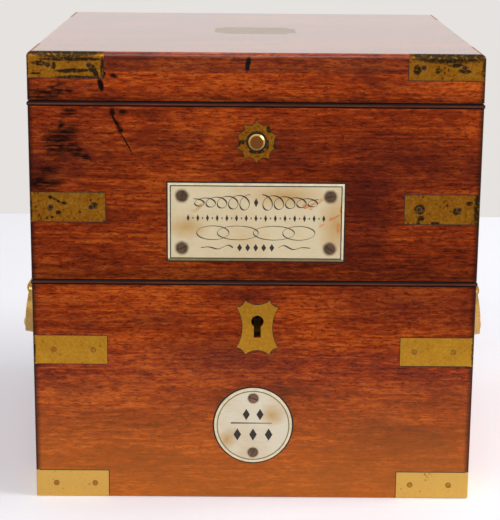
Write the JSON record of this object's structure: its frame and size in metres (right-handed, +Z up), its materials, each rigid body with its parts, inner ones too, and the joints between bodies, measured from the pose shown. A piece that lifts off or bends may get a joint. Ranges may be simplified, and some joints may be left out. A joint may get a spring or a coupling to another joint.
{
  "type": "chronometer box",
  "caption": "Square three-tier hardwood case with brass corners and hinged lids, holding a gimballed timepiece with a lock, a push-button catch and drop handles.",
  "frame": {"origin": "middle of the underside of the box body, on the surface that it stands on", "axes": "+Z up, -Y out of the front with the keyhole, +X to the right seen from the front"},
  "size_m": [0.2114, 0.1918, 0.189],
  "materials": {
    "mahogany": "french-polished mahogany",
    "ebony": "polished ebony",
    "binding_brass": "rolled sheet brass, worn",
    "cast_brass": "cast brass, worn",
    "lacquered_brass": "turned and lacquered brass",
    "steel_pin": "plain steel",
    "button_metal": "turned brass, polished by use",
    "bone": "polished bone",
    "dark_screw": "tarnished steel",
    "clear_glass": "plate glass",
    "silvered_dial": "matt silvered brass",
    "gilt": "gilt brass",
    "blued_steel": "blued steel"
  },
  "bodies": {
    "base": {"base_front_board": "mahogany", "base_right_board": "mahogany", "base_back_board": "mahogany", "base_left_board": "mahogany", "base_floor": "mahogany", "base_bead": "ebony", "base_corner_straps": "binding_brass", "base_hinge_leaves": "cast_brass", "base_hinge_pins": "steel_pin", "number_disc": "bone", "number_disc_screws": "dark_screw", "keyhole_escutcheon": "binding_brass", "lock_case": "cast_brass", "left_handle_plate": "cast_brass", "right_handle_plate": "cast_brass", "left_gimbal_bracket": "lacquered_brass", "right_gimbal_bracket": "lacquered_brass", "lock_arm_bracket": "lacquered_brass", "key_block": "mahogany"},
    "middle": {"middle_front_board": "mahogany", "middle_right_board": "mahogany", "middle_back_board": "mahogany", "middle_left_board": "mahogany", "middle_bead": "ebony", "middle_corner_straps": "binding_brass", "middle_hinge_leaves": "cast_brass", "middle_lid_hinge_leaves": "cast_brass", "lid_hinge_pins": "steel_pin", "name_plate": "bone", "name_plate_screws": "dark_screw", "star_escutcheon": "binding_brass", "catch_case": "cast_brass", "link_plate": "cast_brass", "glass_pane": "clear_glass", "glass_beading": "mahogany"},
    "lid": {"lid_panel": "mahogany", "lid_front_rail": "mahogany", "lid_right_rail": "mahogany", "lid_back_rail": "mahogany", "lid_left_rail": "mahogany", "lid_corner_straps": "binding_brass", "lid_hinge_leaves": "cast_brass", "lid_cartouche": "binding_brass", "lid_striker": "cast_brass"},
    "push_button": {"push_button": "button_metal"},
    "lock_bolt": {"lock_bolt": "steel_pin"},
    "left_bail": {"left_handle_bail": "cast_brass"},
    "right_bail": {"right_handle_bail": "cast_brass"},
    "gimbal_ring": {"gimbal_ring": "lacquered_brass", "ring_screws": "lacquered_brass"},
    "bowl": {"bowl": "lacquered_brass", "bezel": "lacquered_brass", "bowl_glass": "clear_glass", "dial": "silvered_dial"},
    "hour_hand": {"hour_hand": "gilt"},
    "minute_hand": {"minute_hand": "gilt"},
    "seconds_hand": {"seconds_hand": "blued_steel"},
    "wind_hand": {"wind_hand": "blued_steel"},
    "lock_arm": {"lock_arm": "lacquered_brass"},
    "winding_key": {"winding_key": "lacquered_brass"}
  },
  "joints": [
    {"name": "middle_hinge", "type": "hinge", "parent": "base", "child": "middle", "pos_m": [0, 0.09495, 0.0953], "axis": [-1, 0, 0], "range_deg": [0, 95]},
    {"name": "lid_hinge", "type": "hinge", "parent": "middle", "child": "lid", "pos_m": [0, 0.09495, 0.1693], "axis": [-1, 0, 0], "range_deg": [0, 100]},
    {"name": "catch_press", "type": "slide", "parent": "middle", "child": "push_button", "axis": [0, 1, 0], "range_m": [0, 0.002], "stiffness_N_per_m": 1000, "springref_m": -0.002},
    {"name": "bolt_throw", "type": "slide", "parent": "base", "child": "lock_bolt", "axis": [-1, 0, 0], "range_m": [0, 0.005]},
    {"name": "right_handle", "type": "hinge", "parent": "base", "child": "right_bail", "pos_m": [0.0975, 0, 0.078], "axis": [0, -1, 0], "range_deg": [0, 85]},
    {"name": "left_handle", "type": "hinge", "parent": "base", "child": "left_bail", "pos_m": [-0.0975, 0, 0.078], "axis": [0, 1, 0], "range_deg": [0, 85]},
    {"name": "gimbal_tilt", "type": "hinge", "parent": "base", "child": "gimbal_ring", "pos_m": [0, 0, 0.076], "axis": [1, 0, 0], "range_deg": [-40, 40]},
    {"name": "bowl_swing", "type": "hinge", "parent": "gimbal_ring", "child": "bowl", "pos_m": [0, 0, 0.076], "axis": [0, 1, 0], "range_deg": [-180, 180]},
    {"name": "minute_turn", "type": "hinge", "parent": "bowl", "child": "minute_hand", "pos_m": [0, 0, 0.09], "axis": [0, 0, -1], "continuous": true},
    {"name": "hour_turn", "type": "hinge", "parent": "bowl", "child": "hour_hand", "pos_m": [0, 0, 0.09], "axis": [0, 0, -1], "continuous": true},
    {"name": "seconds_turn", "type": "hinge", "parent": "bowl", "child": "seconds_hand", "pos_m": [0, -0.025, 0.09], "axis": [0, 0, -1], "continuous": true},
    {"name": "wind_indicator", "type": "hinge", "parent": "bowl", "child": "wind_hand", "pos_m": [0, 0.025, 0.09], "axis": [0, 0, -1], "range_deg": [-180, 60]},
    {"name": "gimbal_lock", "type": "hinge", "parent": "base", "child": "lock_arm", "pos_m": [0.072, -0.067, 0.076], "axis": [0, 0, 1], "range_deg": [0, 47]},
    {"name": "key_lift", "type": "slide", "parent": "base", "child": "winding_key", "axis": [0, 0, 1], "range_m": [0, 0.027]}
  ],
  "couplings": [
    {"joint": "hour_turn", "follows": "minute_turn", "ratio": 0.083333}
  ]
}
